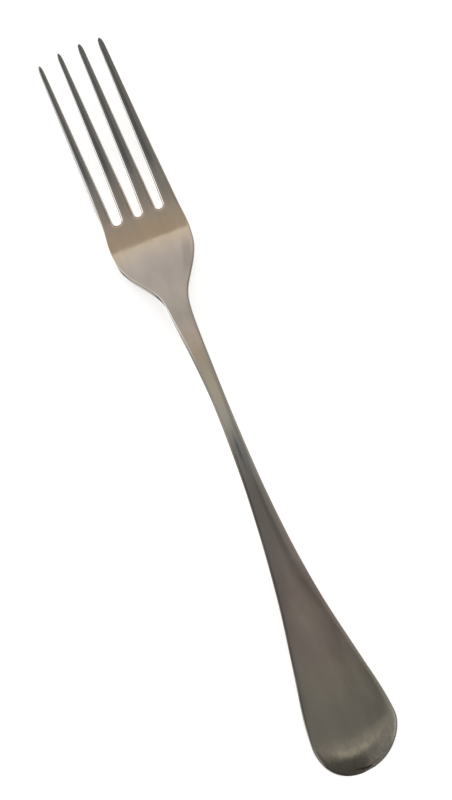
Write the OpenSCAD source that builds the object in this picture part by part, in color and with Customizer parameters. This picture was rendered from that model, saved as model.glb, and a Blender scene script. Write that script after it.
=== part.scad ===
// Dinner fork, pressed and forged from one blank of stainless steel, then polished.
// It lies with its tines up, on the heel of the head and on the end of the handle.
// X runs across the fork, Y runs towards the tips and Z is up, in millimetres.
// Stations are distances along the fork, measured from the end of the handle.

/* [Overall] */
// Length of the fork, from the end of the handle to the tips of the tines
overall_len = 206.5; // [195:0.5:215]

/* [Handle] */
// Width of the handle where it is widest
handle_w = 21.6; // [18:0.2:24]
// Distance from the end of the handle to its widest place
handle_round_len = 10; // [8:0.5:13]
// Thickness of the handle at its widest place
handle_thk = 3.2; // [2.4:0.1:3.4]
// Thickness of the handle at its end, where the upper face falls away
handle_end_thk = 1; // [0.8:0.1:1.8]
// Distance from the handle's end over which its upper face falls away
end_fall_len = 9.5; // [6:0.5:11]
// Fall of the handle's upper face from its middle to its edges
handle_crown = 0.4; // [0:0.05:0.6]
// Width of the rounding round the edge of the handle
handle_edge = 0.9; // [0.6:0.1:1.1]

/* [Shank] */
// Station where the shank is narrowest
shank_at = 92; // [86:1:96]
// Width of the shank where it is narrowest
shank_w = 3.8; // [3.4:0.1:5]
// Thickness of the shank
shank_thk = 3.4; // [2.8:0.1:4]
// Fall of the shank's upper face from its middle to its edges
shank_crown = 0.15; // [0:0.05:0.4]
// Width of the rounding along the edges of the shank
shank_edge = 0.7; // [0.5:0.1:1.5]

/* [Head] */
// Width of the neck, where the shoulders of the head begin
neck_w = 6.6; // [5.6:0.2:8]
// Length of the shoulders, from the neck to the widest place of the head
shoulder_len = 24; // [20:1:27]
// Width of the head across its shoulders
head_w = 23; // [21.4:0.2:25]
// Thickness of the head
head_thk = 2.3; // [1.9:0.1:2.8]
// Distance from the widest place of the head to the roots of the slots
bridge_len = 6.5; // [6:0.5:9]
// Width of the rounding along the edges of the head
head_edge = 0.3; // [0.2:0.05:1]

/* [Tines] */
// Length of the tines, from the roots of the slots to the tips
tine_len = 51.5; // [46:0.5:54]
// Distance from the middle of one tine to the middle of the next
tine_pitch = 6.05; // [5.8:0.05:6.4]
// Width of a slot at its round root
slot_w = 1.9; // [1.6:0.1:2.3]
// Width of the rounding along the edges of the slots, round their roots
slot_edge = 0.9; // [0.6:0.05:1]
// Width of a tine just before its tip
tine_tip_w = 1.4; // [1.2:0.1:2.2]
// Length over which a tine narrows to its rounded point
nose_len = 3.2; // [2.4:0.2:6]
// Thickness of a tine just before its tip
tine_tip_thk = 1.4; // [1.1:0.1:1.7]
// Width of the rounding along the edges of a tine, just before its tip
tine_tip_edge = 0.5; // [0.4:0.05:0.6]

/* [Side curve] */
// Height of the shank's underside where the fork stands highest
arch_rise = 11.5; // [8:0.5:15]
// Station where the fork stands highest
arch_at = 84; // [78:1:92]
// Distance from the roots of the slots back to the lowest place of the heel
heel_back = 3; // [1:0.5:6]
// Height of the underside of the tines at their tips, before their points are ground from below
tip_rise = 9; // [6:0.5:13]
// Distance from the end of the handle to the middle of its rest
rest_at = 6.5; // [5:0.5:9]
// Depth to which the two rests are flattened
rest_depth = 0.1; // [0.05:0.01:0.15]

/* [Hidden] */

function between(a, b, share) = a + (b - a) * share;

// Stations along the fork
root_at = overall_len - tine_len;
head_at = root_at - bridge_len;
neck_at = head_at - shoulder_len;
heel_at = root_at - heel_back;
split_at = root_at + slot_w / 2;
nose_at = overall_len - nose_len;
mid_handle_at = (handle_round_len + shank_at) / 2;

// The tines
TINES = 4;
SLOTS = TINES - 1;
tip_gap = tine_pitch - tine_tip_w;
tip_span = SLOTS * tine_pitch + tine_tip_w;
root_span_share = 0.75;
root_span = between(tip_span, head_w, root_span_share);

// Roundness of the outline at the handle's end and at a tine's nose, where 2 is an ellipse
end_power = 2.1;
nose_power = 2.1;

// Share of the way from the widest place to the shank, and share of the fall in width
handle_shares = [[0, 1], [0.2, 0.7], [0.4, 0.36], [0.6, 0.145], [0.8, 0.03], [1, 0]];
// Share of the way from the shank to the neck, and share of the gain in width
neck_shares = [[0.5, 0.3], [0.8, 0.65]];
// Share of the way along the shoulders, and share of the gain in width
shoulder_shares = [[0, 0], [0.15, 0.11], [0.35, 0.42], [0.55, 0.74], [0.75, 0.94], [1, 1]];
// Share of the way from the handle's rest to the arch, and share of the rise
handle_rise_shares = [[0, 0], [0.3, 0.27], [0.65, 0.75], [1, 1]];
// Share of the way from the arch down to the heel, and share of the rise
neck_fall_shares = [[0.35, 0.87], [0.65, 0.46], [0.85, 0.11], [1, 0]];
// Share of the way from the heel to the tips, and share of the rise
tine_rise_shares = [[0.25, 0.11], [0.55, 0.4], [0.8, 0.71], [1, 1]];
// How rows before the slots bend round their roots: distance in root radii, share of the bend
bend_shares = [[3.3, 0], [2.5, 0.15], [1.65, 0.33], [0.8, 0.6], [0, 1]];

// Share of the way in from the handle's end, and share of the fall of its upper face. The
// points below 0 and above 1 only set the slopes there.
end_fall_shares = [[-0.2, 1.3], [0, 1], [0.4, 0.38], [0.6, 0.18], [1, 0], [1.2, 0]];
// Share of a tine's thickness that its crown has
tine_crown_share = 0.1;
// Share of the way from the shank's edge rounding to the head's that the neck has
neck_edge_share = 0.6;
// Share of the way to the nose at which a tine reaches its full crown
full_crown_share = 0.3;
// Share of a tine's thickness and edge rounding that is left at its very tip
tip_share = 0.5;

// Counts of facets
end_rows = 10;
handle_rows = 13;
neck_rows = 7;
shoulder_rows = 13;
tine_rows = 9;
nose_rows = 5;
tine_cols = 2;
slot_cols = 6;
edge_steps = 6;
end_start = 7;
nose_stop = 78;

// Half width of the fork along its length, as points of station and half width
OUTLINE = concat(
    [for (h = handle_shares)
        [between(handle_round_len, shank_at, h[0]), between(shank_w, handle_w, h[1]) / 2]],
    [for (h = neck_shares)
        [between(shank_at, neck_at, h[0]), between(shank_w, neck_w, h[1]) / 2]],
    [for (h = shoulder_shares)
        [between(neck_at, head_at, h[0]), between(neck_w, head_w, h[1]) / 2]],
    [[split_at, root_span / 2], [overall_len, tip_span / 2]]
);

// Height of the underside along the length, before the rests are flattened
UNDERSIDE = concat(
    [[0, -rest_depth]],
    [for (h = handle_rise_shares)
        [between(rest_at, arch_at, h[0]), between(-rest_depth, arch_rise, h[1])]],
    [for (h = neck_fall_shares)
        [between(arch_at, heel_at, h[0]), between(-rest_depth, arch_rise, h[1])]],
    [for (h = tine_rise_shares)
        [between(heel_at, overall_len, h[0]), between(-rest_depth, tip_rise, h[1])]]
);

// Thickness along the middle before the end falls away, crown of the upper face, and width of
// the edge rounding
THICKNESS = [
    [0, handle_thk], [handle_round_len, handle_thk],
    [mid_handle_at, (handle_thk + shank_thk) / 2], [shank_at, shank_thk],
    [neck_at, (shank_thk + head_thk) / 2], [head_at, head_thk],
    [split_at, head_thk], [nose_at, tine_tip_thk], [overall_len, tine_tip_thk * tip_share]
];
CROWN = [
    [0, handle_crown], [mid_handle_at, handle_crown],
    [shank_at, shank_crown], [neck_at, shank_crown], [head_at, 0], [split_at, 0],
    [between(split_at, nose_at, full_crown_share), tine_tip_thk * tine_crown_share],
    [overall_len, tine_tip_thk * tine_crown_share]
];
EDGE = [
    [0, handle_edge], [mid_handle_at, handle_edge], [shank_at, shank_edge],
    [neck_at, between(shank_edge, head_edge, neck_edge_share)], [head_at, head_edge],
    [split_at, slot_edge],
    [nose_at, tine_tip_edge], [overall_len, tine_tip_edge * tip_share]
];

// A smooth curve through points, which doesn't overshoot them
function secant(p, i) = (p[i + 1][1] - p[i][1]) / (p[i + 1][0] - p[i][0]);
function slope(p, i) =
    i == 0 ? 0 :
    i == len(p) - 1 ? secant(p, i - 1) :
    let (a = secant(p, i - 1), b = secant(p, i))
    a * b <= 0 ? 0 : 2 * a * b / (a + b);
function span(p, x) = max(0, min(len([for (q = p) if (q[0] <= x) q]), len(p) - 1) - 1);
function curve(p, x) =
    let (i = span(p, x), d = p[i + 1][0] - p[i][0], u = (x - p[i][0]) / d, v = 1 - u)
    p[i][1] * (1 + 2 * u) * v * v + slope(p, i) * d * u * v * v
    + p[i + 1][1] * u * u * (1 + 2 * v) - slope(p, i + 1) * d * u * u * v;

// Inward normal at each point of a list of edge points, for an edge on the right or the left
function unit(v) = v / norm(v);
function normals(p, side) = [
    for (i = [0 : len(p) - 1])
    let (t = unit(p[min(i + 1, len(p) - 1)] - p[max(i - 1, 0)]))
    [-t[1] * side, t[0] * side]
];

// A point of the solid, whose heights are cut flat at the surface that the fork rests on
function seat(x, s, z) = [x, s - overall_len / 2, max(z, 0)];
// Rise of a tine's underside where its point gets thinner, so that its upper face runs on
function point_rise(s) = s > nose_at ? tine_tip_thk - curve(THICKNESS, s) : 0;
function under_z(s) = curve(UNDERSIDE, s) + point_rise(s);
function upper_z(x, s, f) =
    under_z(s) + curve(THICKNESS, s) - curve(CROWN, s) * f * f - end_fall(x, s);

// Station at which the handle's round end crosses an X
function end_line(x) =
    handle_round_len * (1 - pow(1 - pow(abs(2 * x / handle_w), end_power), 1 / end_power));
// Fall of the upper face behind the round end, which fades towards the handle's sides
function end_fall(x, s) =
    s >= handle_round_len + end_fall_len ? 0 :
    let (share = max((s - end_line(x)) / end_fall_len, 0))
    (handle_thk - handle_end_thk) * curve(end_fall_shares, min(share, 1))
    * (1 - end_line(x) / handle_round_len);

// Points round an edge, from the upper face to the underside, for an outline point p
// with inward normal n. The outermost ones are on the outline itself.
function edge_points(p, n, r) = [
    for (q = [1 : edge_steps - 1])
    let (
        a = 180 * q / edge_steps,
        in = p + n * r,
        top = upper_z(in[0], in[1], 1),
        low = under_z(in[1]),
        at = p + n * r * (1 - sin(a))
    )
    seat(at[0], at[1], (top + low) / 2 + (top - low) / 2 * cos(a))
];

// One ring of the solid: upper face from left to right, right edge, underside, left edge
function ring(left, right, left_edge, right_edge, faces) = concat(
    [for (f = faces) seat(f[0], f[1], upper_z(f[0], f[1], f[2]))],
    right_edge,
    [for (i = [len(faces) - 1 : -1 : 0]) seat(faces[i][0], faces[i][1], under_z(faces[i][1]))],
    [for (i = [len(left_edge) - 1 : -1 : 0]) left_edge[i]]
);

// The body, from the handle's end to the row where the tines part
BODY_AT = concat(
    [for (i = [1 : handle_rows]) between(handle_round_len, shank_at, i / handle_rows)],
    [for (i = [1 : neck_rows]) between(shank_at, neck_at, i / neck_rows)],
    [for (i = [1 : shoulder_rows]) between(neck_at, head_at, i / shoulder_rows)],
    [for (b = bend_shares) split_at - b[0] * (slot_w / 2 + slot_edge)]
);
END_POINTS = [
    for (i = [0 : end_rows])
    let (a = between(end_start, 90, i / end_rows))
    [handle_w / 2 * pow(sin(a), 2 / end_power),
     handle_round_len * (1 - pow(max(cos(a), 0) / cos(end_start), 2 / end_power))]
];
BODY_POINTS = concat(END_POINTS, [for (s = BODY_AT) [curve(OUTLINE, s), s]]);
BODY_NORMALS = normals(concat([[-END_POINTS[0][0], END_POINTS[0][1]]], BODY_POINTS), 1);
BODY_ROWS = len(BODY_POINTS);
SPLIT = BODY_ROWS - 1;
function body_normal(i) = BODY_NORMALS[i + 1];
function body_inset(i) =
    BODY_POINTS[i] + body_normal(i) * curve(EDGE, BODY_POINTS[i][1]);
function bend(i) = i <= SPLIT - len(bend_shares) ? 0 : bend_shares[i - SPLIT + len(bend_shares) - 1][1];

// Edges of the slots and of the tines at a station
function half_gap(s) = between(slot_w, tip_gap, (s - split_at) / (overall_len - split_at)) / 2;
function slot_x(c) = (c - (SLOTS - 1) / 2) * tine_pitch;
function tine_left(t, s) = t == 0 ? -curve(OUTLINE, s) : slot_x(t - 1) + half_gap(s);
function tine_right(t, s) = t == SLOTS ? curve(OUTLINE, s) : slot_x(t) - half_gap(s);

// Columns across the body, as places on the row where the tines part: X and bend
root_r = slot_w / 2 + slot_edge;
split_half = body_inset(SPLIT)[0];
function split_left(t) = t == 0 ? -split_half : slot_x(t - 1) + root_r;
function split_right(t) = t == SLOTS ? split_half : slot_x(t) - root_r;
COLUMNS = [
    for (t = [0 : TINES - 1])
    for (c = [0 : tine_cols + (t < SLOTS ? slot_cols - 1 : 0)])
    let (a = 180 * (c - tine_cols) / slot_cols)
    c <= tine_cols
        ? [between(split_left(t), split_right(t), c / tine_cols), 0]
        : [slot_x(t) - root_r * cos(a), -root_r * sin(a)]
];
COLS = len(COLUMNS);
RING = 2 * COLS + 2 * (edge_steps - 1);
function body_ring(i) =
    let (
        in = body_inset(i),
        p = BODY_POINTS[i],
        n = body_normal(i),
        r = curve(EDGE, p[1]),
        edge = edge_points(p, n, r)
    )
    ring(
        -in[0], in[0],
        [for (e = edge) [-e[0], e[1], e[2]]],
        edge,
        [for (c = COLUMNS)
            let (f = c[0] / split_half)
            [f * in[0], in[1] + c[1] * bend(i), f]]
    );

// The wall of a slot's round root, one column of edge points for each column of the body
ROOT_AT = body_inset(SPLIT)[1];
function root_column(slot, c) =
    let (a = 180 * c / slot_cols, n = [-cos(a), -sin(a)])
    edge_points([slot_x(slot), ROOT_AT] + n * slot_w / 2, n, slot_edge);

// The tines, whose rings start after the row where they part
TINE_AT = [for (i = [1 : tine_rows]) between(split_at, nose_at, i / tine_rows)];
function nose_angle(i) = nose_stop * i / nose_rows;
function tine_points(t, side) = concat(
    [for (s = concat([split_at], TINE_AT)) [side < 0 ? tine_left(t, s) : tine_right(t, s), s]],
    [for (i = [1 : nose_rows])
        let (
            a = nose_angle(i),
            s = nose_at + nose_len * pow(sin(a) / sin(nose_stop), 2 / nose_power),
            l = tine_left(t, s),
            r = tine_right(t, s)
        )
        [(l + r) / 2 + side * (r - l) / 2 * pow(cos(a), 2 / nose_power), s]]
);
TINE_RINGS = tine_rows + nose_rows;
TINE_RING = 2 * (tine_cols + 1) + 2 * (edge_steps - 1);
function tine_rings(t) =
    let (
        lp = tine_points(t, -1),
        rp = tine_points(t, 1),
        ln = normals(lp, -1),
        rn = normals(rp, 1)
    )
    [for (i = [1 : TINE_RINGS])
        let (
            r = curve(EDGE, lp[i][1]),
            li = lp[i] + ln[i] * r,
            ri = rp[i] + rn[i] * r
        )
        each ring(
            li[0], ri[0],
            edge_points(lp[i], ln[i], r),
            edge_points(rp[i], rn[i], r),
            [for (c = [0 : tine_cols])
                let (u = c / tine_cols)
                [between(li[0], ri[0], u), between(li[1], ri[1], u), 2 * u - 1]]
        )];

// All points, then the numbers of the points in each ring and column
POINTS = concat(
    [for (i = [0 : SPLIT]) each body_ring(i)],
    [for (slot = [0 : SLOTS - 1]) for (c = [0 : slot_cols]) each root_column(slot, c)],
    [for (t = [0 : TINES - 1]) each tine_rings(t)]
);
ROOT_BASE = BODY_ROWS * RING;
TINE_BASE = ROOT_BASE + SLOTS * (slot_cols + 1) * (edge_steps - 1);
function body_loop(i) = [for (p = [0 : RING - 1]) i * RING + p];
function upper_id(col) = SPLIT * RING + col;
function under_id(col) = SPLIT * RING + 2 * COLS + edge_steps - 2 - col;
function root_ids(slot, c) = [
    for (q = [0 : edge_steps - 2])
    ROOT_BASE + (slot * (slot_cols + 1) + c) * (edge_steps - 1) + q
];
function reverse(v) = [for (i = [len(v) - 1 : -1 : 0]) v[i]];
function right_ids() = [for (q = [0 : edge_steps - 2]) SPLIT * RING + COLS + q];
function left_ids() = [for (q = [0 : edge_steps - 2]) (SPLIT + 1) * RING - 1 - q];
function tine_col(t) = t * (tine_cols + slot_cols);
function tine_loop(t, i) =
    i > 0
    ? [for (p = [0 : TINE_RING - 1]) TINE_BASE + (t * TINE_RINGS + i - 1) * TINE_RING + p]
    : concat(
        [for (c = [0 : tine_cols]) upper_id(tine_col(t) + c)],
        t == SLOTS ? right_ids() : root_ids(t, 0),
        [for (c = [tine_cols : -1 : 0]) under_id(tine_col(t) + c)],
        reverse(t == 0 ? left_ids() : root_ids(t - 1, slot_cols))
    );
function root_strip(slot, c) =
    let (col = tine_col(slot) + tine_cols + c)
    concat([upper_id(col)], root_ids(slot, c), [under_id(col)]);

// Triangles between two rings, between two columns, and over the last ring of an end
function quad(a, b, c, d) = [[a, b, c], [a, c, d]];
function skin(a, b) = [
    for (i = [0 : len(a) - 1])
    let (j = (i + 1) % len(a))
    each quad(a[i], b[i], b[j], a[j])
];
function strip(a, b) = [
    for (i = [0 : len(a) - 2])
    each quad(a[i], b[i], b[i + 1], a[i + 1])
];
function cap(loop, cols) =
    let (
        up = [for (i = [0 : cols]) loop[i]],
        right = [for (i = [1 : edge_steps - 1]) loop[cols + i]],
        low = [for (i = [0 : cols]) loop[2 * cols + edge_steps - i]],
        left = [for (i = [1 : edge_steps - 1]) loop[len(loop) - i]],
        end = edge_steps - 2
    )
    concat(
        [for (i = [0 : cols - 1]) [up[i], up[i + 1], left[0]]],
        [[up[cols], right[0], left[0]]],
        [for (i = [0 : end - 1]) each quad(left[i], right[i], right[i + 1], left[i + 1])],
        [[left[end], right[end], low[cols]]],
        [for (i = [0 : cols - 1]) [left[end], low[i + 1], low[i]]]
    );
function flip(faces) = [for (f = faces) [f[0], f[2], f[1]]];

FACES = concat(
    cap(body_loop(0), COLS - 1),
    [for (i = [0 : SPLIT - 1]) each skin(body_loop(i), body_loop(i + 1))],
    flip([for (slot = [0 : SLOTS - 1]) for (c = [0 : slot_cols - 1])
        each strip(root_strip(slot, c), root_strip(slot, c + 1))]),
    [for (t = [0 : TINES - 1]) for (i = [0 : TINE_RINGS - 1])
        each skin(tine_loop(t, i), tine_loop(t, i + 1))],
    flip([for (t = [0 : TINES - 1]) each cap(tine_loop(t, TINE_RINGS), tine_cols)])
);

module fork() {
    color("silver")
        polyhedron(points = POINTS, faces = FACES, convexity = 6);
}

fork();
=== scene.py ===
import math

import bmesh
import bpy
import numpy as np
from mathutils import Matrix, Vector


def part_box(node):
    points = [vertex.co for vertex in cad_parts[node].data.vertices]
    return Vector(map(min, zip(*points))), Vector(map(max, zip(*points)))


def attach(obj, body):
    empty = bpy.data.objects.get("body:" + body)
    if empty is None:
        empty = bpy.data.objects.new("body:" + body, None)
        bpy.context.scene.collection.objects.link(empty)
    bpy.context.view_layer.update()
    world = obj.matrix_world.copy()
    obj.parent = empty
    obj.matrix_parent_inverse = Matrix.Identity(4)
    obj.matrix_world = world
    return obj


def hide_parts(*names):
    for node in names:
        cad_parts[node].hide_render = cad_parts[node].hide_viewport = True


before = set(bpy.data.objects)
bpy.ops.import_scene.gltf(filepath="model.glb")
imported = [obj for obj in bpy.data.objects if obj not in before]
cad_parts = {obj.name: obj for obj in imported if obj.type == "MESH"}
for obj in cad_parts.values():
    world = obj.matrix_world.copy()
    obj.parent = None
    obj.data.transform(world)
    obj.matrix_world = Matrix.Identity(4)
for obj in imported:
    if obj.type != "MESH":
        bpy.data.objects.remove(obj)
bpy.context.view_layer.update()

# The camera
# It looks down on the fork from over the end of the handle, about a third of a metre up,
# and is turned so that the tines point to the upper left of an upright picture.
MM = 0.001
AIM_AT = Vector((2.22, -6.609, 4)) * MM
CAMERA_AWAY = 350 * MM
CAMERA_LEAN = math.radians(19.015)
CAMERA_ASIDE = math.radians(-3.334)
CAMERA_ROLL = math.radians(-22.743)
CAMERA_CLIP = 10 * MM
LENS_MM = 62.307
LONG_SIDE_MM = 36

eye = AIM_AT + CAMERA_AWAY * Vector(
    (math.tan(CAMERA_ASIDE), -math.sin(CAMERA_LEAN), math.cos(CAMERA_LEAN))
)
look = (AIM_AT - eye).normalized()
across = look.cross(Vector((0, 1, 0))).normalized()
facing = Matrix((across, across.cross(look), -look)).transposed().to_4x4()
camera = bpy.data.objects.new("camera", bpy.data.cameras.new("camera"))
camera.data.lens = LENS_MM
camera.data.sensor_width = LONG_SIDE_MM
camera.data.clip_start = CAMERA_CLIP
camera.matrix_world = Matrix.Translation(eye) @ facing @ Matrix.Rotation(CAMERA_ROLL, 4, "Z")
bpy.context.scene.collection.objects.link(camera)
bpy.context.scene.camera = camera

# The fork
# One blank of stainless steel: handle, shank, head and four tines. The blank is pressed to
# its side curve, the slots are ground out, and all edges are rounded and polished by hand.
# Sizes are in millimetres, and stations are measured from the end of the handle.
fork_low, fork_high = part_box("fork")
LENGTH = (fork_high.y - fork_low.y) / MM

# The handle, whose upper face falls away over its rounded end
HANDLE_W = 21.6
HANDLE_ROUND_LEN = 10
HANDLE_THICK = 3.2
HANDLE_END_THICK = 1
END_FALL_LEN = 9.5
HANDLE_CROWN = 0.4
HANDLE_EDGE = 0.9

# The shank at its narrowest, and the neck where the shoulders begin
SHANK_AT = 92
SHANK_W = 3.8
SHANK_THICK = 3.4
SHANK_CROWN = 0.15
SHANK_EDGE = 0.7
NECK_W = 6.6

# The head, with a bridge of full width before the roots of the slots
SHOULDER_LEN = 24
HEAD_W = 22.8
HEAD_THICK = 2.3
BRIDGE_LEN = 6.5
HEAD_EDGE = 0.3

# The tines and the slots between them
TINE_LEN = 51.5
TINE_PITCH = 6.05
SLOT_W = 1.9
SLOT_EDGE = 0.9
TINE_TIP_W = 1.6
NOSE_LEN = 3.2
TINE_TIP_THICK = 1.4
TINE_TIP_EDGE = 0.3
TINE_CROWN = 0.14

# The side curve: an arch over the shank, a heel behind the slots, and raised tips. Both
# places where the fork rests are worn flat.
ARCH_RISE = 11.5
ARCH_AT = 84
HEEL_BACK = 3
TIP_RISE = 9
REST_AT = 6.5
REST_DEPTH = 0.1

ROOT_AT = LENGTH - TINE_LEN
HEAD_AT = ROOT_AT - BRIDGE_LEN
NECK_AT = HEAD_AT - SHOULDER_LEN
HEEL_AT = ROOT_AT - HEEL_BACK
SPLIT_AT = ROOT_AT + SLOT_W / 2
NOSE_AT = LENGTH - NOSE_LEN
MID_HANDLE_AT = (HANDLE_ROUND_LEN + SHANK_AT) / 2

TINES = 4
SLOTS = TINES - 1
TIP_GAP = TINE_PITCH - TINE_TIP_W
TIP_SPAN = SLOTS * TINE_PITCH + TINE_TIP_W

# A power above 2 makes a round end fuller than a circle's. The shares say how much of the
# head's width is kept at the slots' roots, how far the rounding has changed from the shank's
# to the head's in the neck, and what is left of a tip's thickness at its very point.
END_POWER = 2.1
NOSE_POWER = 2.5
ROOT_SPAN_SHARE = 0.75
NECK_EDGE_SHARE = 0.6
TIP_SHARE = 0.5

# How the lines run between those places, as pairs of a share of the way and a share of the
# gain or of what is left
HANDLE_SHARES = [(0, 1), (0.2, 0.7), (0.4, 0.36), (0.6, 0.145), (0.8, 0.03), (1, 0)]
NECK_SHARES = [(0.5, 0.3), (0.8, 0.65)]
SHOULDER_SHARES = [(0, 0), (0.15, 0.11), (0.35, 0.42), (0.55, 0.74), (0.75, 0.94), (1, 1)]
HANDLE_RISE_SHARES = [(0, 0), (0.3, 0.27), (0.65, 0.75), (1, 1)]
NECK_FALL_SHARES = [(0.35, 0.87), (0.65, 0.46), (0.85, 0.11), (1, 0)]
TINE_RISE_SHARES = [(0.25, 0.11), (0.55, 0.4), (0.8, 0.71), (1, 1)]
END_FALL_SHARES = [(-0.2, 1.3), (0, 1), (0.4, 0.38), (0.6, 0.18), (1, 0), (1.2, 0)]

# Rows of the mesh behind the slots, as shares of a slot root's radius, and how far each bends
# round the roots
BEND_SHARES = [(3.3, 0), (2.5, 0.15), (1.65, 0.33), (0.8, 0.6), (0, 1)]

# What handwork left uneven: how far the middle line strays aside, the handle's end ground
# a little askew, slots wider or narrower at the root and at the tips and set aside there,
# and tines cut short
ASIDE = [
    (0, 0), (12, 0.05), (50, -0.28), (78, -0.08), (96, 0.08), (121, -0.2), (130, 0.28),
    (140, 0.06), (157, 0.14), (180, -0.3), (LENGTH, -0.93),
]
END_SKEW = 0.11
END_TRIM = 0.17
END_SKEW_FROM = 2
END_SKEW_TO = 14
SLOT_EXTRA = [(0.4, 0.3), (0, 0.25), (0, -0.35)]
SLOT_ASIDE = [(-0.35, -0.1), (-0.35, 0.02), (-0.35, 0.02)]
TINE_SHORT = [1.8, 0.4, 0, 0.3]

# How far the polisher's wheel evens a line, and how many times that far it is felt. Lines are
# worked out in small steps, and go on a little past both ends.
FAIRING = 2.5
THICKNESS_FAIRING = 1.5
OUTLINE_FAIRING = 1
END_FAIRING = 0.4
FAIRING_REACH = 4
STATION_STEP = 0.25
SPARE_LEN = 30


def between(start, end, share):
    """The value at a share of the way from start to end."""
    return start + (end - start) * share


def spread(start, end, low, high, shares):
    """Points of station and value, from their shares of the way and of the gain."""
    return [(between(start, end, way), between(low, high, gain)) for way, gain in shares]


def faired(points, fairing=FAIRING):
    """The value at any station, from a line through points that a polisher's wheel has evened."""
    at, value = np.array(points, float).T
    chord = np.diff(value) / np.diff(at)
    slope = np.zeros(len(at))
    for i in range(1, len(at) - 1):
        before, after = chord[i - 1], chord[i]
        if before * after > 0:
            slope[i] = 2 * before * after / (before + after)
    slope[-1] = chord[-1]
    stations = np.arange(at[0] - SPARE_LEN, at[-1] + SPARE_LEN, STATION_STEP)
    i = np.clip(np.searchsorted(at, stations, side="right") - 1, 0, len(at) - 2)
    wide = at[i + 1] - at[i]
    way = (np.clip(stations, at[0], at[-1]) - at[i]) / wide
    left = 1 - way
    line = value[i] * (1 + 2 * way) * left * left + slope[i] * wide * way * left * left
    line += value[i + 1] * way * way * (1 + 2 * left) - slope[i + 1] * wide * way * way * left
    line += slope[-1] * np.maximum(stations - at[-1], 0)
    reach = math.ceil(FAIRING_REACH * fairing / STATION_STEP)
    weight = np.exp(-((np.arange(-reach, reach + 1) * STATION_STEP / fairing) ** 2) / 2)
    line = np.convolve(np.pad(line, reach, mode="edge"), weight / weight.sum(), mode="valid")
    return lambda station: np.interp(station, stations, line)


half_width = faired(
    spread(HANDLE_ROUND_LEN, SHANK_AT, SHANK_W / 2, HANDLE_W / 2, HANDLE_SHARES)
    + spread(SHANK_AT, NECK_AT, SHANK_W / 2, NECK_W / 2, NECK_SHARES)
    + spread(NECK_AT, HEAD_AT, NECK_W / 2, HEAD_W / 2, SHOULDER_SHARES)
    + [(SPLIT_AT, between(TIP_SPAN, HEAD_W, ROOT_SPAN_SHARE) / 2), (LENGTH, TIP_SPAN / 2)],
    OUTLINE_FAIRING,
)
low_line = faired(
    [(0, -REST_DEPTH)]
    + spread(REST_AT, ARCH_AT, -REST_DEPTH, ARCH_RISE, HANDLE_RISE_SHARES)
    + spread(ARCH_AT, HEEL_AT, -REST_DEPTH, ARCH_RISE, NECK_FALL_SHARES)
    + spread(HEEL_AT, LENGTH, -REST_DEPTH, TIP_RISE, TINE_RISE_SHARES)
)
thickness = faired([
    (0, HANDLE_THICK),
    (HANDLE_ROUND_LEN, HANDLE_THICK),
    (MID_HANDLE_AT, (HANDLE_THICK + SHANK_THICK) / 2),
    (SHANK_AT, SHANK_THICK),
    (NECK_AT, (SHANK_THICK + HEAD_THICK) / 2),
    (HEAD_AT, HEAD_THICK),
    (SPLIT_AT, HEAD_THICK),
    (NOSE_AT, TINE_TIP_THICK),
    (LENGTH, TINE_TIP_THICK * TIP_SHARE),
], THICKNESS_FAIRING)
crown = faired([
    (0, HANDLE_CROWN),
    (MID_HANDLE_AT, HANDLE_CROWN),
    (SHANK_AT, SHANK_CROWN),
    (NECK_AT, SHANK_CROWN),
    (HEAD_AT, 0),
    (SPLIT_AT, 0),
    (NOSE_AT, TINE_CROWN),
    (LENGTH, TINE_CROWN),
])
edge_round = faired([
    (0, HANDLE_EDGE),
    (MID_HANDLE_AT, HANDLE_EDGE),
    (SHANK_AT, SHANK_EDGE),
    (NECK_AT, between(SHANK_EDGE, HEAD_EDGE, NECK_EDGE_SHARE)),
    (HEAD_AT, HEAD_EDGE),
    (SPLIT_AT, SLOT_EDGE),
    (NOSE_AT, TINE_TIP_EDGE),
    (LENGTH, TINE_TIP_EDGE * TIP_SHARE),
])
aside = faired(ASIDE)
fall_behind = faired(
    spread(0, END_FALL_LEN, 0, HANDLE_THICK - HANDLE_END_THICK, END_FALL_SHARES), END_FAIRING
)

# How finely the mesh is divided: steps round an edge, columns across a tine and round a
# slot's root, and rows along. The first row lies a little off the handle's very end, and the
# last a little off a tine's point, and both are closed with a face.
EDGE_STEPS = 6
TINE_COLS = 2
SLOT_COLS = 6
END_START = math.radians(7)
END_ROWS = 16
HANDLE_ROWS = 18
NECK_ROWS = 12
SHOULDER_ROWS = 16
TINE_ROWS = 16
NOSE_ROWS = 6
NOSE_STOP = math.radians(78)
SMOOTHINGS = 2


def underside(station):
    """Height of the underside, which rises where a tine's point gets thinner."""
    thinned = np.maximum(TINE_TIP_THICK - thickness(station), 0)
    return low_line(station) + (station > NOSE_AT) * thinned


def end_fall(x, station):
    """How far the upper face falls behind the handle's round end, less so at its sides."""
    inner = np.clip(1 - abs(2 * x / HANDLE_W) ** END_POWER, 0, 1) ** (1 / END_POWER)
    return fall_behind(max(station - HANDLE_ROUND_LEN * (1 - inner), 0)) * inner


def upper(x, station, share):
    """Height of the upper face, where share is the share of the half width from the middle."""
    middle = underside(station) + thickness(station)
    return middle - crown(station) * share * share - end_fall(x, station)


def place(x, station, height):
    """A point of the fork in the frame, which never goes below the table."""
    way = np.clip((station - END_SKEW_FROM) / (END_SKEW_TO - END_SKEW_FROM), 0, 1)
    askew = (1 - way * way * (3 - 2 * way)) * (END_SKEW * x + END_TRIM)
    return [
        (x + aside(station)) * MM, (station + askew - LENGTH / 2) * MM, np.maximum(height, 0) * MM
    ]


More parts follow.
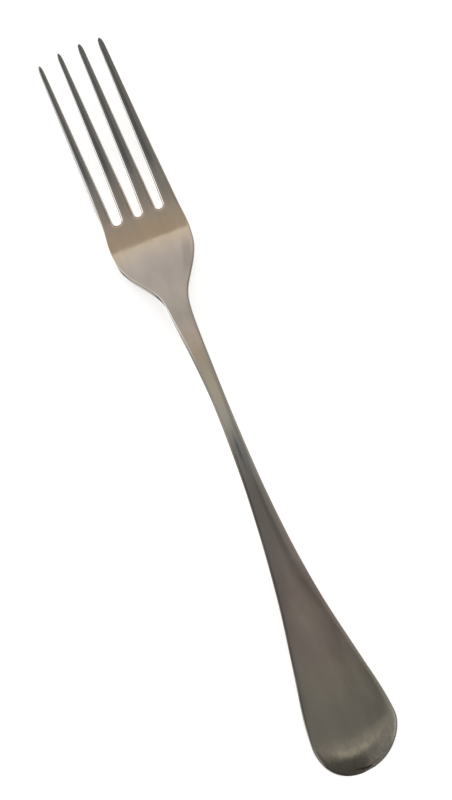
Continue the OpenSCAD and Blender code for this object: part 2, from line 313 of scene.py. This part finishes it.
def inward(edge, side):
    """Normals of an outline's points, towards the steel, for its right or left side."""
    run = np.gradient(edge, axis=0)
    run[0], run[-1] = edge[1] - edge[0], edge[-1] - edge[-2]
    run /= np.linalg.norm(run, axis=1)[:, None]
    return np.stack([-run[:, 1] * side, run[:, 0] * side], axis=1)


def rounding(point, normal, radius):
    """Points round an edge, from just under the upper face to just over the underside."""
    low = underside((point + normal * radius)[1])
    made = []
    for step in range(1, EDGE_STEPS):
        turn = math.pi * step / EDGE_STEPS
        x, station = point + normal * radius * (1 - math.sin(turn))
        top = upper(x, station, 1)
        made.append(place(x, station, (top + low) / 2 + (top - low) / 2 * math.cos(turn)))
    return made


def ring(face, left, right):
    """One loop round the steel: upper face from left to right, right edge, underside, left edge."""
    over = [place(x, station, upper(x, station, share)) for x, station, share in face]
    under = [place(x, station, underside(station)) for x, station, share in face]
    return over + right + under[::-1] + left[::-1]


def parted(loop, cols):
    """A loop's upper face, right edge, underside and left edge, from left and from the top."""
    edge = EDGE_STEPS - 1
    over, rest = loop[:cols], loop[cols:]
    right, under, left = rest[:edge], rest[edge:edge + cols], rest[edge + cols:]
    return over, right, under[::-1], left[::-1]


def slot_middle(slot, way=0):
    """Where the middle of a slot lies across, at a share of the way from its root to the tips."""
    return (slot - (SLOTS - 1) / 2) * TINE_PITCH + between(*SLOT_ASIDE[slot], way)


def half_gap(slot, way=0):
    """Half the width of a slot, at a share of the way from its root to the tips."""
    return (between(SLOT_W, TIP_GAP, way) + between(*SLOT_EXTRA[slot], way)) / 2


def root_radius(slot):
    """Radius of a slot's round root, out to where the upper face begins."""
    return half_gap(slot) + SLOT_EDGE


def tine_side(tine, side, station):
    """Where a tine's left or right side lies across. The outer sides follow the outline."""
    if tine == 0 and side < 0 or tine == SLOTS and side > 0:
        return side * half_width(station)
    slot = tine if side > 0 else tine - 1
    way = (station - SPLIT_AT) / (LENGTH - SPLIT_AT)
    return slot_middle(slot, way) - side * half_gap(slot, way)


# Outline of the body from the handle's end to the row where the tines part
end_angles = np.linspace(END_START, math.pi / 2, END_ROWS)
end_points = np.stack([
    HANDLE_W / 2 * np.sin(end_angles) ** (2 / END_POWER),
    HANDLE_ROUND_LEN * (1 - (np.cos(end_angles).clip(0) / math.cos(END_START)) ** (2 / END_POWER)),
], axis=1)
body_stations = np.concatenate([
    np.linspace(HANDLE_ROUND_LEN, SHANK_AT, HANDLE_ROWS + 1)[1:],
    np.linspace(SHANK_AT, NECK_AT, NECK_ROWS + 1)[1:],
    np.linspace(NECK_AT, HEAD_AT, SHOULDER_ROWS + 1)[1:],
    [SPLIT_AT - away * (SLOT_W / 2 + SLOT_EDGE) for away, bend in BEND_SHARES],
])
body_points = np.concatenate([
    end_points, np.stack([half_width(body_stations), body_stations], axis=1)
])
mirrored_first = end_points[0] * (-1, 1)
body_normals = inward(np.concatenate([[mirrored_first], body_points]), 1)[1:]
body_radii = edge_round(body_points[:, 1])
body_insets = body_points + body_normals * body_radii[:, None]
body_bends = np.zeros(len(body_points))
body_bends[-len(BEND_SHARES):] = [bend for away, bend in BEND_SHARES]
split_half, split_row = body_insets[-1]

# Columns of the body, as places on the row where the tines part: across, and round a slot's root
columns = []
for tine in range(TINES):
    left = -split_half if tine == 0 else slot_middle(tine - 1) + root_radius(tine - 1)
    right = split_half if tine == SLOTS else slot_middle(tine) - root_radius(tine)
    columns += [(between(left, right, col / TINE_COLS), 0) for col in range(TINE_COLS + 1)]
    if tine < SLOTS:
        for col in range(1, SLOT_COLS):
            turn = math.pi * col / SLOT_COLS
            radius = root_radius(tine)
            columns.append((slot_middle(tine) - radius * math.cos(turn), -radius * math.sin(turn)))
COLS = len(columns)

places, quads = [], []


def add_places(points):
    """Keeps points for the mesh, and gives their numbers."""
    places.extend(points)
    return list(range(len(places) - len(points), len(places)))


def skin(first, second, closed=True):
    """Faces between two lines of points."""
    for i in range(len(first) if closed else len(first) - 1):
        j = (i + 1) % len(first)
        quads.append((first[i], second[i], second[j], first[j]))


def end_face(loop, cols):
    """Closes the last loop of an end with rows of faces from its left edge to its right edge."""
    over, right, under, left = parted(loop, cols)
    spots = np.array([places[i][0] for i in over])
    shares = (spots - spots[0]) / (spots[-1] - spots[0])
    above = over
    for start, end in zip(left, right):
        start_at, end_at = np.array(places[start]), np.array(places[end])
        inner = add_places([list(between(start_at, end_at, share)) for share in shares[1:-1]])
        line = [start] + inner + [end]
        skin(above, line, closed=False)
        above = line
    skin(above, under, closed=False)


# The body, whose last rows bend round the roots of the slots
body_loops = []
for point, normal, radius, inset, bend in zip(
    body_points, body_normals, body_radii, body_insets, body_bends
):
    right = rounding(point, normal, radius)
    left = rounding(point * (-1, 1), normal * (-1, 1), radius)
    face = [
        (x / split_half * inset[0], inset[1] + back * bend, x / split_half)
        for x, back in columns
    ]
    body_loops.append(add_places(ring(face, left, right)))
end_face(body_loops[0], COLS)
for first, second in zip(body_loops, body_loops[1:]):
    skin(first, second)

# Walls of the slots' round roots, one line of points for each column of the body
over_split, right_split, under_split, left_split = parted(body_loops[-1], COLS)
root_walls = []
for slot in range(SLOTS):
    walls = []
    for col in range(SLOT_COLS + 1):
        turn = math.pi * col / SLOT_COLS
        normal = np.array([-math.cos(turn), -math.sin(turn)])
        middle = np.array([slot_middle(slot), split_row])
        walls.append(add_places(rounding(middle + normal * half_gap(slot), normal, SLOT_EDGE)))
    root_walls.append(walls)
    for col in range(SLOT_COLS):
        at = slot * (TINE_COLS + SLOT_COLS) + TINE_COLS + col
        skin(
            [over_split[at]] + walls[col] + [under_split[at]],
            [over_split[at + 1]] + walls[col + 1] + [under_split[at + 1]],
            closed=False,
        )

# The tines, each with straight sides and a rounded nose
nose_angles = np.linspace(0, NOSE_STOP, NOSE_ROWS + 1)[1:]
nose_ways = (np.sin(nose_angles) / math.sin(NOSE_STOP)) ** (2 / NOSE_POWER)
for tine in range(TINES):
    tine_stations = np.linspace(SPLIT_AT, NOSE_AT - TINE_SHORT[tine], TINE_ROWS + 1)
    nose_stations = tine_stations[-1] + NOSE_LEN * nose_ways
    sides = []
    for side in (-1, 1):
        edge = [(tine_side(tine, side, station), station) for station in tine_stations]
        for turn, station in zip(nose_angles, nose_stations):
            left, right = tine_side(tine, -1, station), tine_side(tine, 1, station)
            half = (right - left) / 2 * math.cos(turn) ** (2 / NOSE_POWER)
            edge.append(((left + right) / 2 + side * half, station))
        edge = np.array(edge)
        sides.append((edge, inward(edge, side)))
    at = tine * (TINE_COLS + SLOT_COLS)
    before = (
        over_split[at:at + TINE_COLS + 1]
        + (right_split if tine == SLOTS else root_walls[tine][0])
        + under_split[at:at + TINE_COLS + 1][::-1]
        + (left_split if tine == 0 else root_walls[tine - 1][SLOT_COLS])[::-1]
    )
    for row in range(1, TINE_ROWS + NOSE_ROWS + 1):
        (left, left_in), (right, right_in) = [(edge[row], normals[row]) for edge, normals in sides]
        radius = edge_round(right[1])
        low, high = left + left_in * radius, right + right_in * radius
        face = [
            (*between(low, high, col / TINE_COLS), 2 * col / TINE_COLS - 1)
            for col in range(TINE_COLS + 1)
        ]
        loop = add_places(
            ring(face, rounding(left, left_in, radius), rounding(right, right_in, radius))
        )
        skin(before, loop)
        before = loop
    end_face(before, TINE_COLS + 1)

fork_mesh = bpy.data.meshes.new("fork_steel")
fork_mesh.from_pydata([tuple(point) for point in places], [], quads)
work = bmesh.new()
work.from_mesh(fork_mesh)
bmesh.ops.recalc_face_normals(work, faces=work.faces)
work.to_mesh(fork_mesh)
work.free()
fork_mesh.polygons.foreach_set("use_smooth", [True] * len(fork_mesh.polygons))
fork = bpy.data.objects.new("fork_steel", fork_mesh)
bpy.context.scene.collection.objects.link(fork)
smoothing = fork.modifiers.new("smoothing", "SUBSURF")
smoothing.levels = smoothing.render_levels = SMOOTHINGS

# The finish is bright at the head, and more satin in the neck and towards the handle's end.
# It has hairlines from the polishing wheel, stray scratches from use and a faint brown film.
# Tone by station, which paints light and shade into the steel's colour: a painted highlight
# near the handle's end, darker and more purple over the middle of the handle, a broad painted
# highlight over the shank, painted shade in the neck where the bright line of the room's wall
# falls, and a warmer painted reflection at the roots of the tines.
TONES_WITH_PAINTED_LIGHT = [
    (0, (0.6, 0.59, 0.56)),
    (3, (0.6, 0.59, 0.56)),
    (6, (0.68, 0.67, 0.62)),
    (10, (0.6, 0.605, 0.56)),
    (21, (0.54, 0.535, 0.5)),
    (30, (0.575, 0.545, 0.53)),
    (44, (0.5, 0.46, 0.465)),
    (52, (0.59, 0.555, 0.55)),
    (70, (0.62, 0.61, 0.59)),
    (82, (0.76, 0.77, 0.75)),
    (88, (0.74, 0.76, 0.73)),
    (98, (0.65, 0.675, 0.665)),
    (105, (0.6, 0.62, 0.62)),
    (109, (0.58, 0.575, 0.56)),
    (113, (0.5, 0.475, 0.445)),
    (120, (0.47, 0.465, 0.44)),
    (125, (0.55, 0.55, 0.53)),
    (130, (0.6, 0.59, 0.57)),
    (146, (0.6, 0.582, 0.56)),
    (151, (0.6, 0.56, 0.515)),
    (158, (0.65, 0.61, 0.575)),
    (166, (0.62, 0.605, 0.59)),
    (206, (0.62, 0.62, 0.61)),
]
FILM_TONE = (1, 0.975, 0.945, 1)
STREAK_TONES = (0.95, 1.03)
SCUFF_TONES = (0.86, 1.1)
# How dark the band of painted shade on the head is
PAINTED_SHADE_BAND_TONE = (0.84, 0.84, 0.84, 1)
OUTER_SIDE_TONE = (0.6, 0.6, 0.6, 1)

# Places of the marks from the middle of the fork, where they start, are full, fade and end.
# The stripe runs aslant, by as much across for each millimetre along.
STRIPE_SLANT = 0.27
STRIPE_ACROSS = (-3.6, -2.6, -1.2, -0.2)
STRIPE_ALONG = (26, 33, 37, 43)
SCUFFS_FADE, SCUFFS_END = -100, -92
OUTER_SIDE_FADE, OUTER_SIDE_END = -10.4, -9.9
OUTER_SIDE_START, OUTER_SIDE_FULL = 51, 58
NECK_ALONG = (-4, 6, 9, 20)

# Marks for each millimetre across, along and up, and how far they are turned, in degrees
FILM_GRAIN = (0.05, 0.03, 0.05)
STREAK_GRAIN = (0.3, 0.02, 0.3)
SCUFF_GRAIN = (1.3, 0.5, 1.3)
SCUFF_TURN = 24
SMUDGE_GRAIN = (0.2, 0.12, 0.2)
SMUDGE_TURN = 20
HAIRLINE_GRAIN = (7, 0.25, 7)
STRAY_GRAIN = (9, 0.2, 9)
STRAY_TURN = 34
WAVE_GRAIN = (0.3, 0.08, 0.3)

# Heights of that noise between which a mark fades in
FILM_HEIGHTS = (0.35, 0.65)
STREAK_HEIGHTS = (0.3, 0.7)
SCUFF_HEIGHTS = (0.35, 0.65)
SMUDGE_HEIGHTS = (0.4, 0.7)
STRAY_HEIGHTS = (0.64, 0.74)

# Depths of the relief in millimetres
WAVE_DEPTH = 0.05
HAIRLINE_DEPTH = 0.0012
STRAY_DEPTH = 0.002

# Roughness, which falls from the handle's end towards the head, and how many times rougher
# the neck and the smudges are
WORN_AT, BRIGHT_AT = -100, 30
WORN_ROUGHNESS, BRIGHT_ROUGHNESS = 0.19, 0.09
NECK_ROUGHER = 2.2
SMUDGE_ROUGHER = (0.85, 1.5)


def add(tree, kind, **settings):
    """A new node, with values for its settings and for its sockets."""
    made = tree.nodes.new(kind)
    for name, value in settings.items():
        if name in made.bl_rna.properties:
            setattr(made, name, value)
        else:
            made.inputs[name.replace("_", " ")].default_value = value
    return made


def wire(tree, start, end, name, socket=0):
    """Wires one node into a named socket of the next, which it gives back."""
    tree.links.new(start.outputs[socket], end.inputs[name])
    return end


def marks(stretch, turn=0, **settings):
    """Noise over the steel in millimetres, squeezed across and drawn out along, then turned."""
    turned = add(tree, "ShaderNodeMapping")
    turned.inputs["Rotation"].default_value = (0, 0, math.radians(turn))
    turned.inputs["Scale"].default_value = stretch
    wire(tree, in_mm, turned, "Vector")
    noise = add(tree, "ShaderNodeTexNoise", Scale=1.0, **settings)
    return wire(tree, turned, noise, "Vector")


def remap(source, low, high, to_low, to_high, socket=0):
    """A smooth change from one value to another, between two values of the source."""
    ranged = add(
        tree, "ShaderNodeMapRange", interpolation_type="SMOOTHSTEP",
        From_Min=low, From_Max=high, To_Min=to_low, To_Max=to_high,
    )
    return wire(tree, source, ranged, "Value", socket)


def mix(blend, first, second, share=1.0):
    """Two values or colours put together. A node is wired in and anything else is set."""
    made = add(tree, "ShaderNodeMix", data_type="RGBA", blend_type=blend)
    for name, value in ((0, share), (6, first), (7, second)):
        if hasattr(value, "outputs"):
            wire(tree, value, made, name, 2 if value.bl_idname == "ShaderNodeMix" else 0)
        else:
            made.inputs[name].default_value = value
    return made


def share_within(source, start, full, fading, end, socket=0):
    """A share that is all between full and fading, and none before the start and after the end."""
    grown = remap(source, start, full, 0, 1, socket)
    return mix("MULTIPLY", grown, remap(source, fading, end, 1, 0, socket))


def times(first, second):
    """Two values multiplied."""
    made = add(tree, "ShaderNodeMath", operation="MULTIPLY")
    wire(tree, first, made, 0)
    return wire(tree, second, made, 1)


def ramp(source, points, low, high, socket=0):
    """A colour by a value, from points of value and colour between the lowest and highest."""
    along = add(tree, "ShaderNodeMapRange", From_Min=low, From_Max=high)
    wire(tree, source, along, "Value", socket)
    made = wire(tree, along, add(tree, "ShaderNodeValToRGB"), 0)
    stops = made.color_ramp.elements
    for _ in points[2:]:
        stops.new(1)
    for stop, (at, colour) in zip(stops, points):
        stop.position = (at - low) / (high - low)
    for stop, (at, colour) in zip(stops, points):
        stop.color = (*colour, 1)
    return made


steel = bpy.data.materials.new("polished_steel")
steel.use_nodes = True
tree = steel.node_tree
shader = tree.nodes["Principled BSDF"]
shader.inputs["Metallic"].default_value = 1
coords = add(tree, "ShaderNodeTexCoord")
in_mm = add(tree, "ShaderNodeVectorMath", operation="SCALE", Scale=1 / MM)
wire(tree, coords, in_mm, 0, "Object")
spot = wire(tree, in_mm, add(tree, "ShaderNodeSeparateXYZ"), 0)

station = add(tree, "ShaderNodeMath", operation="ADD")
wire(tree, spot, station, 0, "Y")
station.inputs[1].default_value = LENGTH / 2
# Painted highlights and painted shade by station go into the steel's colour here
tones_with_painted_light = ramp(station, TONES_WITH_PAINTED_LIGHT, 0, LENGTH)
film_share = remap(marks(FILM_GRAIN, Detail=3.0), *FILM_HEIGHTS, 0, 1)
filmed = mix("MULTIPLY", tones_with_painted_light, FILM_TONE, film_share)
streaks = remap(marks(STREAK_GRAIN, Detail=2.0), *STREAK_HEIGHTS, *STREAK_TONES)
streaked = mix("MULTIPLY", filmed, streaks)

# A darker band along the right of the head: painted shade, standing in for a dimmer reflection
# there
slant = add(tree, "ShaderNodeVectorMath", operation="DOT_PRODUCT")
wire(tree, in_mm, slant, 0)
slant.inputs[1].default_value = (1, -STRIPE_SLANT, 0)
painted_shade_band = mix(
    "MULTIPLY",
    share_within(slant, *STRIPE_ACROSS, "Value"),
    share_within(spot, *STRIPE_ALONG, "Y"),
)
with_painted_band = mix("MIX", streaked, mix("MULTIPLY", streaked, PAINTED_SHADE_BAND_TONE), painted_shade_band)

# Fine scuffs at the handle's end
scuffs = marks(SCUFF_GRAIN, SCUFF_TURN, Detail=4.0, Roughness=0.7)
scuffed = mix("MULTIPLY", with_painted_band, remap(scuffs, *SCUFF_HEIGHTS, *SCUFF_TONES))
worn_end = mix("MIX", with_painted_band, scuffed, remap(spot, SCUFFS_FADE, SCUFFS_END, 1, 0, "Y"))

# The outer side of the first tine is darker, from the roots of the slots towards the tips
outer_side = mix(
    "MULTIPLY",
    remap(spot, OUTER_SIDE_FADE, OUTER_SIDE_END, 1, 0, "X"),
    remap(spot, OUTER_SIDE_START, OUTER_SIDE_FULL, 0, 1, "Y"),
)
finish = mix("MIX", worn_end, mix("MULTIPLY", worn_end, OUTER_SIDE_TONE), outer_side)
wire(tree, finish, shader, "Base Color", 2)

# The wheel hardly reaches into the neck, so the steel stays more satin there
worn = remap(spot, WORN_AT, BRIGHT_AT, WORN_ROUGHNESS, BRIGHT_ROUGHNESS, "Y")
satin = add(tree, "ShaderNodeMapRange", To_Min=1, To_Max=NECK_ROUGHER)
wire(tree, share_within(spot, *NECK_ALONG, "Y"), satin, "Value", 2)
smudges = remap(marks(SMUDGE_GRAIN, SMUDGE_TURN, Detail=5.0), *SMUDGE_HEIGHTS, *SMUDGE_ROUGHER)
wire(tree, times(times(worn, satin), smudges), shader, "Roughness")

waves = marks(WAVE_GRAIN, Detail=1.0)
hairlines = marks(HAIRLINE_GRAIN, Detail=2.0)
stray_lines = remap(marks(STRAY_GRAIN, STRAY_TURN, Detail=2.0), *STRAY_HEIGHTS, 0, 1)
relief = None
for height, depth in (
    (waves, WAVE_DEPTH), (hairlines, HAIRLINE_DEPTH), (stray_lines, -STRAY_DEPTH)
):
    bump = add(tree, "ShaderNodeBump", Strength=1.0, Distance=depth * MM)
    wire(tree, height, bump, "Height")
    if relief:
        wire(tree, relief, bump, "Normal")
    relief = bump
wire(tree, relief, shader, "Normal")
fork_mesh.materials.append(steel)

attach(fork, "root")
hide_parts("fork")

# The floor
# A plain pale table top, which the fork lies on with its heel and the end of its handle.
# It is of milky glass and softly lit from below, so that shadows on it stay faint.
FLOOR_RADIUS = 1500 * MM
FLOOR_SIDES = 64
FLOOR_COLOUR = (0.9, 0.91, 0.93, 1)
FLOOR_ROUGHNESS = 0.7
FLOOR_SHEEN = 0.1
FLOOR_GLOW = 0.6
floor_mesh = bpy.data.meshes.new("floor")
work = bmesh.new()
bmesh.ops.create_circle(work, cap_ends=True, segments=FLOOR_SIDES, radius=FLOOR_RADIUS)
work.to_mesh(floor_mesh)
work.free()
floor = bpy.data.objects.new("floor", floor_mesh)
bpy.context.scene.collection.objects.link(floor)
pale = bpy.data.materials.new("pale_floor")
pale.use_nodes = True
top = pale.node_tree.nodes["Principled BSDF"]
top.inputs["Base Color"].default_value = FLOOR_COLOUR
top.inputs["Roughness"].default_value = FLOOR_ROUGHNESS
top.inputs["Specular IOR Level"].default_value = FLOOR_SHEEN
top.inputs["Emission Color"].default_value = (1, 1, 1, 1)
top.inputs["Emission Strength"].default_value = FLOOR_GLOW
floor_mesh.materials.append(pale)
floor.visible_glossy = False
floor.visible_shadow = False

# The studio
# A dim room with a bright wall beyond the tines, whose lower edge shows as a line across
# the head. The steel mirrors the room, and past the table only a plain backdrop is seen.
BACKDROP_COLOUR = (0.9, 0.9, 0.9, 1)
bpy.context.scene.view_settings.view_transform = "Standard"
world = bpy.data.worlds.new("studio")
bpy.context.scene.world = world
world.use_nodes = True
tree = world.node_tree
tree.nodes.clear()

# Light by how far a direction leans from overhead towards the tines, in degrees
BANDS = [
    (-90, (0.06, 0.055, 0.05)),
    (-45, (0.09, 0.083, 0.073)),
    (-23, (0.11, 0.1, 0.09)),
    (-16, (0.24, 0.21, 0.19)),
    (-12, (0.235, 0.21, 0.185)),
    (0, (0.18, 0.168, 0.15)),
    (9, (0.195, 0.196, 0.196)),
    (14, (0.21, 0.21, 0.206)),
    (24, (0.45, 0.41, 0.35)),
    (31, (0.52, 0.435, 0.34)),
    (41.8, (0.55, 0.44, 0.33)),
    (42.4, (0.93, 0.8, 0.62)),
    (47, (0.84, 0.74, 0.64)),
    (54, (0.72, 0.65, 0.6)),
    (62, (0.66, 0.6, 0.56)),
    (90, (0.6, 0.55, 0.5)),
]
direction = add(tree, "ShaderNodeTexCoord")
parts = add(tree, "ShaderNodeSeparateXYZ")
wire(tree, direction, parts, 0, "Generated")
steep = add(tree, "ShaderNodeMath", operation="ABSOLUTE")
wire(tree, parts, steep, 0, "Z")


def angle(part, base, socket=0):
    """The angle by which a part of the direction leans away from another."""
    made = add(tree, "ShaderNodeMath", operation="ARCTAN2")
    wire(tree, parts, made, 0, part)
    return wire(tree, base, made, 1, socket)


# Leans of a direction: from overhead or from straight below towards the tines and towards the
# right, round the horizon from the tines towards the right, and up from the horizon
forward = angle("Y", steep)
sideways = angle("X", steep)
around = angle("X", parts, "Y")
level = add(tree, "ShaderNodeMath", operation="ARCSINE")
wire(tree, parts, level, 0, "Z")
in_degrees = wire(tree, forward, add(tree, "ShaderNodeMath", operation="DEGREES"), 0)


def slope_part(lean, start, end):
    """A share that grows from none to all between two angles of a lean, in degrees."""
    if start < end:
        return remap(lean, math.radians(start), math.radians(end), 0, 1)
    return remap(lean, math.radians(end), math.radians(start), 1, 0)


def patch(colour, *slopes):
    """A soft patch of the room: a colour, times the shares of its slopes."""
    made = colour
    for slope in slopes:
        scaled = add(tree, "ShaderNodeVectorMath", operation="SCALE")
        if hasattr(made, "outputs"):
            wire(tree, made, scaled, 0)
        else:
            scaled.inputs[0].default_value = made
        wire(tree, slope_part(*slope), scaled, "Scale")
        made = scaled
    return made


def dimmed(room, depth, *slopes):
    """The room with a soft patch of it darkened, where depth is the share that is lost."""
    less = add(tree, "ShaderNodeVectorMath", operation="MULTIPLY")
    wire(tree, room, less, 0)
    wire(tree, patch((depth, depth, depth), *slopes), less, 1)
    rest = add(tree, "ShaderNodeVectorMath", operation="SUBTRACT")
    wire(tree, room, rest, 0)
    return wire(tree, less, rest, 1)


def lit(room, colour, *slopes):
    """The room with a soft patch of light added to it."""
    more = add(tree, "ShaderNodeVectorMath", operation="ADD")
    wire(tree, room, more, 0)
    return wire(tree, patch(colour, *slopes), more, 1)


# Patches of the room, laid over one another in this order. Each has the share of light that
# it takes or the light that it adds, and then its slopes: a lean, with the degrees where the
# patch starts and where it is full.
AHEAD = (forward, 12, 20)
WELL_AHEAD = (forward, 15, 25)
BELOW = (level, -2, -12)
PATCHES = [
    # The wall beyond the tines is dimmer at its right and at its far left
    (dimmed, 0.25, (sideways, 10, 45), AHEAD),
    (dimmed, 0.25, (around, 25, 60), AHEAD),
    (dimmed, 0.4, (around, -48, -60), AHEAD),
    (dimmed, 0.7, (around, -70, -77), AHEAD),
    # Dim too are a strip from overhead to the back, the foot of that wall, all that is under
    # the horizon at the back, the far left, and a beam right overhead
    (dimmed, 0.2, (sideways, 5, 13), (sideways, 32, 20), (forward, 8, -2)),
    (dimmed, 0.45, (around, -45, -30), (around, 45, 30), (forward, 63, 72)),
    (dimmed, 0.75, (level, 4, -6), (forward, 4, -4)),
    (dimmed, 0.35, (sideways, -42, -64), (forward, 22, 12)),
    (dimmed, 0.4, (sideways, -18, -9), (sideways, 13, 3), (forward, 5, 9), (forward, 19, 14)),
    # A pale wall at the back on the right, and a small window behind the handle's end
    (lit, (0.15, 0.14, 0.125), (sideways, 3, 26), (forward, -14, -24), (level, -2, 6)),
    (
        lit, (0.27, 0.255, 0.2), (sideways, -24, -4), (sideways, 26, 12),
        (forward, -29, -25), (forward, -13, -20), (level, -2, 6),
    ),
    # The table lies in the dark at the right of the fork, and is bright at its left and behind
    (dimmed, 1, (around, -12, -2), (around, 100, 85), (level, 3, -6)),
    (lit, (0.2, 0.197, 0.19), (around, -12, -2), (around, 100, 85), (level, 3, -6)),
    (lit, (0.7, 0.78, 0.85), (around, -66, -54), (around, -5, -15), WELL_AHEAD, BELOW),
    (lit, (0.45, 0.44, 0.42), (around, -90, -100), (around, -170, -150), BELOW),
    (lit, (0.25, 0.245, 0.235), (around, 90, 100), (around, 170, 150), BELOW),
    (
        lit, (0.5, 0.5, 0.48), (around, -98, -88), (around, -73, -78), (forward, 27, 20),
        (level, -12, -22),
    ),
    # Pale walls stand at the back, with a dark doorway right behind the handle's end
    (
        lit, (0.3, 0.29, 0.27), (around, 145, 132), (around, -132, -120), (forward, -8, -20),
        (level, 5, 12), (level, 42, 32),
    ),
    # The wall is lit again low at its right, and so are the table's rim and the wall at the
    # right, over which a dim beam runs high up
    (lit, (0.2, 0.19, 0.17), (around, 22, 35), (around, 62, 50), (level, 38, 28)),
    (lit, (0.17, 0.16, 0.145), (around, 35, 50), (around, 100, 85), (level, -8, -18)),
    (
        lit, (0.075, 0.07, 0.06), (around, 74, 80), (around, 130, 118), (level, 66, 58),
        (level, -12, -2),
    ),
    (dimmed, 0.15, (around, 108, 114), (around, 132, 126), (level, 65, 67), (level, 74, 71)),
    # The table right under the fork is bright, except towards the handle's end
    (lit, (0.6, 0.59, 0.57), (level, -56, -62), (around, -150, -130), (around, 150, 130)),
]
room = ramp(in_degrees, BANDS, -90, 90)
for change, amount, *slopes in PATCHES:
    room = change(room, amount, *slopes)
surroundings = add(tree, "ShaderNodeBackground")
wire(tree, room, surroundings, "Color")
backdrop = add(tree, "ShaderNodeBackground", Color=BACKDROP_COLOUR)
path = add(tree, "ShaderNodeLightPath")
shown = add(tree, "ShaderNodeMixShader")
wire(tree, path, shown, 0, "Is Camera Ray")
wire(tree, surroundings, shown, 1)
wire(tree, backdrop, shown, 2)
wire(tree, shown, add(tree, "ShaderNodeOutputWorld"), "Surface")

# The lamps
# A wide soft lamp overhead lights the table and doesn't show in the steel. A narrow lamp
# stands close to the tines at their left, and a second one below is its image in the table.
# These two show only in the steel.
TABLE_LAMP_SIZE = 2.6
TABLE_LAMP_HEIGHT = 1.2
TABLE_LAMP_RADIANCE = 0.5
SIDE_LAMP_AT = Vector((-118, 133, 0)) * MM
SIDE_LAMP_AIM = Vector((0, 80, 0)) * MM
SIDE_LAMP_W = 62 * MM
SIDE_LAMP_FOOT, SIDE_LAMP_TOP = 3 * MM, 140 * MM
IMAGE_FOOT, IMAGE_TOP = -150 * MM, -5 * MM
SIDE_LAMP_RADIANCE = 1.25
SIDE_LAMP_COLOUR = (0.93, 0.97, 1)


def lamp(name, radiance, wide, tall, at):
    """A lamp with an even face, which shines down until it is turned."""
    light = bpy.data.lights.new(name, "AREA")
    light.shape = "RECTANGLE"
    light.size, light.size_y = wide, tall
    light.energy = radiance * math.pi * wide * tall
    stand = bpy.data.objects.new(name, light)
    stand.location = at
    bpy.context.scene.collection.objects.link(stand)
    return stand


table_lamp = lamp(
    "table_lamp", TABLE_LAMP_RADIANCE, TABLE_LAMP_SIZE, TABLE_LAMP_SIZE, (0, 0, TABLE_LAMP_HEIGHT)
)
table_lamp.visible_glossy = False
for name, foot, tip in (
    ("side_lamp", SIDE_LAMP_FOOT, SIDE_LAMP_TOP), ("side_lamp_mirrored", IMAGE_FOOT, IMAGE_TOP)
):
    middle = SIDE_LAMP_AT + Vector((0, 0, (foot + tip) / 2))
    side_lamp = lamp(name, SIDE_LAMP_RADIANCE, SIDE_LAMP_W, tip - foot, middle)
    side_lamp.data.color = SIDE_LAMP_COLOUR
    side_lamp.rotation_mode = "QUATERNION"
    side_lamp.rotation_quaternion = (SIDE_LAMP_AIM - SIDE_LAMP_AT).to_track_quat("-Z", "Y")
    side_lamp.visible_camera = side_lamp.visible_diffuse = False
